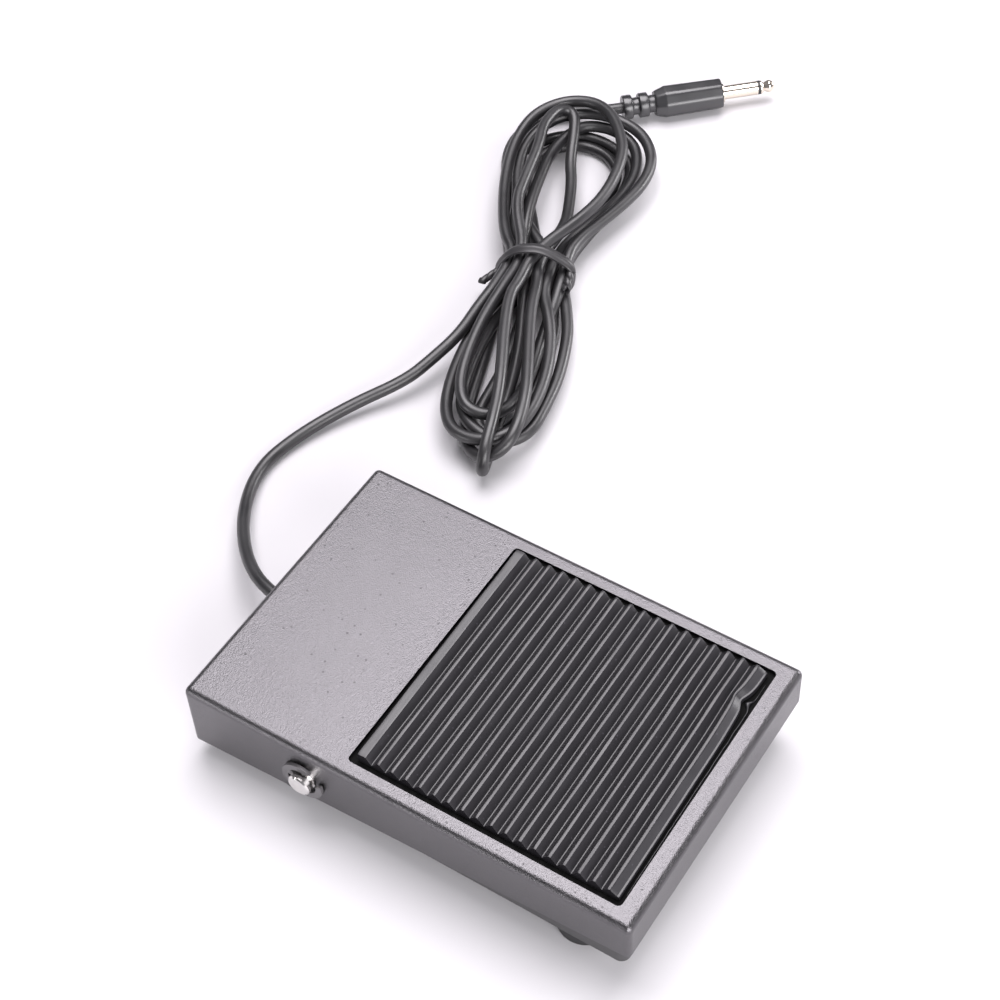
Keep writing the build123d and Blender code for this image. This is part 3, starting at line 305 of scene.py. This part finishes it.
lead_points = [
    (0, 49.8, 10.0), (0.8, 57.2, 10.0), (7.2, 67.3, 7.2), (18.5, 77.2, 3.4), (31.5, 82.9, 1.8),
    (43.5, 81.0, 1.9), (56.5, 75.4, 3.0),
]
hank_points = [
    (-40.3, 21.3, 4.6), (-34.1, 16.8, 6.0), (-26.4, 12.0, 7.6), (-18.1, 9.8, 8.5), (-11.4, 7.7, 8.8),
    (0.7, 5.5, 8.6), (7.0, 9.6, 8.4), (19.4, 12.9, 7.9), (30.2, 14.6, 8.0), (40.7, 14.7, 8.6),
    (49.6, 12.1, 9.4), (54.6, 5.9, 10.3), (55.0, -1.3, 11.1), (51.2, -6.9, 11.7), (43.9, -10.8, 12.0),
    (36.5, -13.2, 11.9), (25.2, -12.7, 11.8), (15.1, -9.5, 11.5),
    (-0.8, 0.6, 11.5), (-10.4, 1.7, 11.1), (-15.5, 2.8, 11.5), (-26.5, 1.4, 11.7), (-36.9, -0.6, 11.6),
    (-45.6, -1.9, 11.0), (-53.9, -2.4, 10.6), (-58.9, -2.4, 9.9), (-61.6, -2.4, 8.5), (-63.0, -2.3, 6.4),
    (-62.6, -2.1, 4.3), (-60.6, -1.9, 2.9), (-57.0, -1.8, 2.5), (-51.6, -1.7, 3.2), (-43.5, -2.2, 4.3),
    (-34.6, -2.2, 4.0),
    (-23.1, -1.3, 4.0), (-13.5, 0.5, 4.5), (-6.6, 1.7, 5.2),
    (-0.4, 0.1, 5.7), (9.2, 8.3, 7.1), (21.0, 9.8, 6.1), (32.1, 12.6, 6.0), (42.6, 12.7, 6.3),
    (51.1, 8.5, 6.7), (54.7, 1.6, 7.1), (54.8, -5.4, 7.3), (52.4, -12.5, 6.8), (47.7, -17.2, 6.4),
    (40.5, -19.7, 6.0), (31.2, -18.4, 6.0), (19.0, -12.9, 6.8), (7.8, -7.2, 8.0),
    (0.2, -6.8, 7.8), (-8.8, -6.8, 6.2), (-14.3, -6.1, 4.1), (-23.5, -5.8, 3.6), (-31.8, -5.8, 3.9),
    (-41.3, -5.4, 5.5), (-48.2, -2.3, 7.2), (-49.7, 1.8, 7.9), (-47.8, 5.9, 8.6), (-41.6, 8.0, 9.1),
    (-32.9, 8.2, 9.6), (-22.9, 7.4, 10.0), (-13.2, 5.5, 10.2),
    (-0.3, 2.7, 10.1), (14.7, 8.8, 11.3), (25.9, 8.3, 11.4), (35.8, 7.8, 11.5), (43.0, 8.4, 11.5),
    (48.4, 7.3, 11.0), (51.2, 6.0, 10.4), (52.3, 4.0, 9.6), (51.2, 2.2, 8.7), (47.2, 1.4, 7.5),
    (37.9, 0.5, 5.6),
    (31.2, -1.4, 5.2), (21.3, -2.8, 5.4), (14.1, -3.5, 6.5),
    (-0.9, -0.6, 9.0), (-9.0, -2.1, 9.1), (-16.4, -2.5, 9.8), (-26.4, -4.3, 10.2), (-35.6, -6.2, 10.5),
    (-44.3, -7.8, 10.6), (-54.0, -8.0, 9.9), (-58.7, -5.8, 7.5), (-60.2, -1.1, 5.4), (-55.9, 3.3, 3.7),
    (-50.1, 5.4, 2.7), (-41.4, 6.2, 2.1), (-30.4, 6.3, 1.6), (-20.3, 6.7, 1.4), (-10.2, 7.2, 1.4),
    (-0.2, 4.1, 2.1), (11.2, 5.8, 5.1), (18.6, 6.5, 6.2), (27.8, 6.6, 6.0), (39.1, 6.2, 5.5), (47.1, 4.0, 5.2),
    (53.0, -0.0, 4.9), (53.2, -7.1, 4.5), (49.5, -13.0, 4.2), (43.5, -15.5, 4.0), (35.7, -15.8, 4.1),
    (26.7, -13.1, 4.3), (17.1, -8.8, 5.2), (9.0, -4.5, 5.3),
    (0.1, -3.9, 7.5), (-9.4, -3.5, 7.2), (-16.3, -6.5, 7.5), (-24.0, -8.8, 7.1), (-33.1, -10.0, 7.1),
    (-42.3, -9.9, 7.3), (-50.9, -7.9, 7.3), (-55.7, -3.4, 7.5), (-56.5, 1.7, 7.0), (-54.1, 7.1, 6.5),
    (-47.7, 10.1, 6.1), (-38.3, 11.0, 5.9), (-28.0, 10.6, 5.5), (-17.4, 8.9, 5.4), (-7.5, 7.6, 5.2),
    (-0.3, 6.1, 5.3), (9.0, 9.5, 4.6), (20.6, 12.3, 4.2), (31.3, 14.8, 4.3), (40.6, 14.4, 3.6),
    (47.1, 10.1, 2.9), (51.5, 3.8, 2.3), (51.9, -3.1, 1.8), (49.1, -8.9, 1.6), (44.0, -13.8, 1.5),
    (36.2, -14.3, 1.5), (27.3, -12.0, 1.6), (18.3, -8.9, 1.9), (9.7, -6.6, 2.9),
    (0.7, -5.6, 4.2), (-14.2, -10.6, 4.2), (-22.2, -11.9, 4.3), (-32.8, -12.4, 4.4), (-41.5, -11.4, 4.5),
    (-49.4, -10.1, 4.5), (-53.7, -5.6, 4.4), (-53.8, -0.4, 5.6), (-50.7, 4.2, 5.7), (-45.4, 7.3, 5.5),
    (-35.6, 8.0, 5.2), (-25.0, 7.4, 4.7), (-14.9, 5.8, 3.7),
    (0.4, 0.6, 1.5), (13.2, 3.5, 1.4), (22.3, 6.8, 1.4), (31.5, 10.5, 1.5), (37.8, 11.0, 1.5),
    (44.7, 8.7, 1.5), (48.4, 3.6, 1.5), (48.9, -1.9, 1.5), (46.7, -7.0, 1.5), (42.0, -10.6, 1.5),
    (35.9, -11.2, 1.5), (27.7, -8.8, 1.5), (19.4, -6.3, 1.5), (12.5, -4.0, 1.5),
    (0.1, -3.9, 1.7), (-12.8, -7.4, 1.4), (-22.0, -8.0, 1.5), (-32.3, -7.7, 1.5), (-39.9, -6.4, 1.5),
    (-45.6, -5.4, 1.4), (-48.6, -3.0, 1.4), (-49.4, 0.0, 1.4), (-47.8, 2.6, 1.4), (-43.8, 3.6, 1.5),
    (-36.3, 2.3, 1.5),
    (-29.7, 1.2, 1.5), (-18.2, 0.9, 1.4), (-7.2, 0.4, 1.8),
]
tail_points = [
    (-0.1, -2.2, 2.5), (8.1, 0.2, 4.0), (15.3, 5.6, 3.6), (26.7, 12.6, 1.7), (39.0, 17.6, 1.4),
    (50.1, 17.1, 1.7), (59.2, 9.1, 2.5),
]
plug_turn = math.radians(-46.8)
plug_along = Vector((math.cos(plug_turn), math.sin(plug_turn), 0))
plug_aside = Vector((-math.sin(plug_turn), math.cos(plug_turn), 0))
boot_start = Vector((174.3, 74.0, 4.0))
cord_points = [
    *lead_points,
    *[in_hank(point) for point in hank_points],
    *[in_hank(point) for point in tail_points],
    boot_start - plug_along * 5.5,
    boot_start,
]
cord = cord_curve("cord", cord_points, cord_diameter, "cord_jacket", "base")
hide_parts("cord_lead", "cord_hank", "cord_tail")


# The tie: a flat strap with a raised core round the waist, twisted together at one side
tie_along = -2.2
tie_lean = 0.35
tie_middle = Vector((0.0, 6.5))
floor_clearance = 0.05
strap_section = [
    (-1.5, 0.0), (-1.45, 0.42), (-0.75, 0.5), (-0.5, 0.85), (0.0, 1.0), (0.5, 0.85), (0.75, 0.5), (1.45, 0.42),
    (1.5, 0.0), (0.75, -0.08), (0.0, -0.1), (-0.75, -0.08),
]
tie_outline = [
    (-6.4, 0.8), (-8.3, 3.2), (-8.8, 6.6), (-8.7, 9.4), (-5.6, 11.7), (-1.8, 13.6), (1.6, 13.5), (5.0, 12.3),
    (7.1, 9.9), (8.8, 6.6), (8.5, 3.4), (6.4, 0.9), (2.6, 0.3), (-1.5, 0.2), (-4.4, 0.2),
]


def smooth_loop(points, steps):
    """A closed loop of points, smoothed by a rounding spline through their middles."""
    made = []
    count = len(points)
    for k in range(count):
        a, b, c = (Vector(points[(k + j) % count]) for j in (0, 1, 2))
        for s in range(steps):
            t = s / steps
            made.append((a + b) / 2 * (1 - t) ** 2 + b * 2 * t * (1 - t) + (b + c) / 2 * t**2)
    return made


def strap_rings(outline, lean):
    """Cross-sections of the tie along its loop, thin and flat with a rounded core."""
    rings = []
    loop = smooth_loop(outline, 6)
    count = len(loop)
    for k, point in enumerate(loop):
        run = (loop[(k + 1) % count] - loop[k - 1]).normalized()
        outward = Vector((run.y, -run.x))
        if outward.dot(point - tie_middle) < 0:
            outward = -outward
        sway = lean * math.sin(k / count * 2 * math.pi) + 0.12 * noise.noise(Vector((k * 0.31, 0, 0)))
        ring = []
        for side, rise in strap_section:
            spot = point + outward * rise
            ring.append(in_hank((tie_along + sway + side, spot.x, max(spot.y, floor_clearance))))
        rings.append(ring)
    return rings


tie_mesh = skin("waist_tie", strap_rings(tie_outline, tie_lean), closed=True)
tie = add_piece("waist_tie", tie_mesh, "tie_plastic", "base", 50)
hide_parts("twist_tie")


strand_half_thickness = 0.42
strand_steps = 32


def twisted_end(name, start, heading, length, turns, width, gap):
    """Two flat strands of the tie wound round each other, opening toward their tips."""
    heading = heading.normalized()
    side = heading.cross(Vector((0, 0, 1))).normalized()
    up = side.cross(heading)
    meshes = []
    for phase in (0, math.pi):
        rings = []
        for k in range(strand_steps + 1):
            t = k / strand_steps
            turn = phase + turns * 2 * math.pi * t
            spread = gap * (1.0 if t < 0.8 else 1.0 + (t - 0.8) * 2.0)
            radial = side * math.cos(turn) + up * math.sin(turn)
            centre = start + heading * (length * t) + radial * spread
            tangent = (heading * length + (up * math.cos(turn) - side * math.sin(turn))
                       * spread * turns * 2 * math.pi).normalized()
            broad = tangent.cross(radial).normalized()
            rings.append([centre + broad * (width / 2 * math.cos(q)) + radial * (strand_half_thickness * math.sin(q))
                          for q in [j * math.pi / 5 for j in range(10)]])
        meshes.append(skin(name, rings))
    built = bmesh.new()
    for mesh in meshes:
        built.from_mesh(mesh)
    joined = bpy.data.meshes.new(name)
    built.to_mesh(joined)
    built.free()
    return joined


knot_start = in_hank((-2.8, -8.8, 8.6))
knot_mesh = twisted_end("tie_knot", knot_start, in_hank((-7.0, -8.6, 7.4)) - knot_start,
                        length=5.0, turns=1.25, width=1.5, gap=0.65)
knot = add_piece("tie_knot", knot_mesh, "tie_plastic", "base", 60)
end_start = in_hank((-2.4, 8.4, 6.0))
end_mesh = twisted_end("tie_end", end_start, in_hank((-6.5, 12.0, 5.0)) - end_start,
                       length=5.5, turns=1.5, width=1.5, gap=0.5)
end = add_piece("tie_end", end_mesh, "tie_plastic", "base", 60)


# The ribbed tread: straight flat-topped ribs, a flat strip behind them and a low lip in front
tread_low, tread_high = (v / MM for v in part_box("tread_pad"))
rib_pitch = 3.1235
rib_steps = 17
first_crest = 10.55
last_crest = first_crest - rib_steps * rib_pitch
valley_z = tread_low.z + 1.0
crest_z = tread_high.z
lip_front = last_crest - 2.1
lip_z = crest_z - 1.05
strip_rear = 12.15
flank = [
    (0.24, 1.0), (0.285, 0.985), (0.325, 0.94), (0.36, 0.87), (1.36, 0.10), (1.40, 0.045), (1.44, 0.01), (1.47, 0.0),
]
shoulder = flank[:4]
tread_profile = [
    (lip_front + 0.12, tread_low.z), (lip_front, tread_low.z + 0.15), (lip_front, lip_z - 0.1),
    (lip_front + 0.07, lip_z), (lip_front + 0.42, lip_z), (lip_front + 0.5, lip_z + 0.06),
]
for rib in range(rib_steps, -1, -1):
    crest = first_crest - rib * rib_pitch
    for reach, rise in reversed(shoulder if rib == rib_steps else flank):
        tread_profile.append((crest - reach, valley_z + (crest_z - valley_z) * rise))
    tread_profile.append((crest, crest_z + 0.006))
    if rib:
        for reach, rise in flank:
            tread_profile.append((crest + reach, valley_z + (crest_z - valley_z) * rise))
tread_profile += [
    (first_crest + 0.3, crest_z), (first_crest + 0.8, crest_z - 0.03), (strip_rear - 0.25, crest_z),
    (strip_rear - 0.08, crest_z - 0.05), (strip_rear, crest_z - 0.2), (strip_rear, tread_low.z),
]


tread_turn = 0.0088
bulge_x, pinch_x = 19.5, 20.2


def tread_point(x, y, z):
    """A point of the tread: it lies slightly turned, its ribs waver, and its front edge is pinched."""
    lift = max(0.0, z - valley_z) / (crest_z - valley_z)
    lean = tread_turn * x
    y += lean
    y += 0.07 * noise.noise(Vector((x * 0.07, y * 0.33, 0.0)))
    z += 0.035 * noise.noise(Vector((x * 0.13, y * 0.4, 7.0))) * lift
    ahead = max(0.0, y - lean - lip_front)
    bend = math.exp(-((x - bulge_x) / (6.5 if x < bulge_x else 4.5)) ** 2) * math.exp(-ahead / 5.0)
    y += 0.35 * bend
    offset = x - pinch_x
    pinch = math.exp(-abs(offset / (1.5 if offset < 0 else 1.9)) ** 1.6) * math.exp(-((ahead / 2.1) ** 2))
    y += 0.95 * pinch
    z -= 0.3 * pinch * lift
    return x, y, min(z, crest_z)


columns = 112
tread_half_width = 28.25
tread_rings = []
for column in range(columns + 1):
    share = column / columns
    drop = 0.12 * max(0.0, abs(2 * share - 1) - 0.985) / 0.015
    ring = []
    for y, z in tread_profile:
        half = tread_half_width + 0.1 * noise.noise(Vector((y * 0.7, z * 0.5, 3.0 if share > 0.5 else 9.0)))
        ring.append(tread_point((2 * share - 1) * half + 0.1, y, z - drop * (z > valley_z - 0.3)))
    tread_rings.append(ring)
tread = add_piece("tread", skin("tread", tread_rings), "tread_rubber", "pedal", 32)
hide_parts("tread_pad")

# A thin ragged line of dried glue in front of the tread, thicker where its edge is pinched
bead_steps = 160
bead_half_length = 26.5
bead_gap = 0.62
bead_rings = []
for k in range(bead_steps + 1):
    t = k / bead_steps
    x = bead_half_length * (2 * t - 1)
    heap = math.exp(-((x - 20.6) / 0.9) ** 2)
    swell = 0.11 + 0.05 * noise.noise(Vector((x * 0.8, 1.0, 0.0))) + 0.36 * heap
    waver = 0.14 * noise.noise(Vector((x * 0.4, 4.0, 0)))
    centre = Vector((x, lip_front + tread_turn * x - bead_gap + waver + 0.75 * heap,
                     tread_low.z + 0.02 + swell * 0.6))
    swell *= min(1.0, 0.25 + 8 * min(t, 1 - t))
    bead_rings.append([centre + Vector((0, math.cos(q), math.sin(q))) * swell
                       for q in [j * math.pi / 6 for j in range(12)]])
add_piece("glue_line", skin("glue_line", bead_rings), "tread_rubber", "pedal", 60)


# The lift spring, with closed ends, built at one fixed length; the real one shortens as the pedal goes down
spring_low, spring_high = (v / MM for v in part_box("return_spring"))
spring_centre = (spring_low + spring_high) / 2
wire_radius = 0.45
coil_radius = 4.05
spring_turns = 7.0
end_turns = 0.75
end_share = 0.07
spring_steps = 280
spring_rings = []
for k in range(spring_steps + 1):
    t = k / spring_steps
    turn = 2 * math.pi * spring_turns * t
    free = min(1.0, max(0.0, (t * spring_turns - end_turns) / (spring_turns - 2 * end_turns)))
    first = min(1, t * spring_turns / end_turns)
    last = min(1, max(0, (t - 1) * spring_turns / end_turns + 1))
    climbed = free * (1 - 2 * end_share) + end_share * (first + last)
    height = spring_low.z + wire_radius + (spring_high.z - spring_low.z - 2 * wire_radius) * climbed
    outward = Vector((math.cos(turn), math.sin(turn), 0))
    centre = Vector((spring_centre.x, spring_centre.y, height)) + outward * coil_radius
    spring_rings.append([centre + (outward * math.cos(q) + Vector((0, 0, 1)) * math.sin(q)) * wire_radius
                         for q in [j * math.pi / 5 for j in range(10)]])
spring = add_piece("lift_spring", skin("lift_spring", spring_rings), "spring_steel", "base", 60)
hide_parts("return_spring")
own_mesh(spring)


# The plug's moulded shell: a boot with two ribs, a shoulder and a long eight-sided grip
grip_sides = 8
corner_reach = 1.055


def plug_ring(distance, half, roundness):
    """One ring of the shell, between a circle and a polygon with flats and blunt corners."""
    ring = []
    for k in range(64):
        q = 2 * math.pi * k / 64
        side = 2 * math.pi / grip_sides
        flat = 1 / math.cos((q + side / 2) % side - side / 2)
        size = half * (roundness + (1 - roundness) * min(flat, corner_reach))
        aside, up = math.cos(q), math.sin(q)
        ring.append(boot_start + plug_along * distance + plug_aside * (aside * size) + Vector((0, 0, up * size)))
    return ring


shell_profile = [
    (0.0, 2.35, 1.0), (0.0, 2.9, 1.0), (0.12, 3.02, 1.0), (0.3, 3.1, 1.0), (2.1, 3.1, 1.0), (2.3, 3.02, 1.0),
    (2.4, 2.9, 1.0), (2.42, 2.3, 1.0), (2.6, 2.2, 1.0), (3.95, 2.2, 1.0), (4.13, 2.3, 1.0), (4.15, 2.9, 1.0),
    (4.27, 3.02, 1.0), (4.45, 3.1, 1.0), (6.25, 3.1, 1.0), (6.45, 3.02, 1.0), (6.55, 2.9, 1.0), (6.57, 2.3, 1.0),
    (6.75, 2.2, 1.0), (8.1, 2.2, 1.0), (8.28, 2.3, 1.0), (8.3, 2.95, 0.6), (8.45, 3.05, 0.3), (8.7, 3.12, 0.0),
    (10.7, 3.78, 0.0), (10.9, 3.85, 0.0), (11.15, 3.87, 0.0), (17.0, 3.78, 0.0), (25.2, 3.66, 0.0),
    (25.45, 3.62, 0.05), (25.57, 3.52, 0.1), (25.6, 3.35, 0.15), (25.6, 2.45, 1.0), (25.6, 1.8, 1.0),
]
shell_rings = [plug_ring(distance, half, roundness) for distance, half, roundness in shell_profile]
shell = add_piece("plug_shell", skin("plug_shell", shell_rings), "plug_plastic", "base", 42)
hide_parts("plug_body")

# The two wires inside, from the switch to the cord
wire_diameter = 1.2
wire_z = 7.0
inner_wire = cord_curve("inner_wire", [
    (-10.7, 5.9, wire_z), (-14.7, 5.9, wire_z), (-16.5, 11.0, wire_z), (-12.5, 19.0, wire_z),
    (-4.0, 29.0, wire_z + 1.2), (0.7, 32.5, 10.0), (0.7, 36.5, 10.0),
], wire_diameter, "wire_red", "base")
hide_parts("inner_lead_wire")
outer_wire = cord_curve("outer_wire", [
    (-10.7, -2.1, wire_z), (-15.7, -2.1, wire_z), (-19.5, 4.0, wire_z), (-17.5, 16.0, wire_z),
    (-7.5, 30.0, wire_z + 1.2), (-0.7, 32.5, 10.0), (-0.7, 36.5, 10.0),
], wire_diameter, "wire_white", "base")
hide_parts("outer_lead_wire")
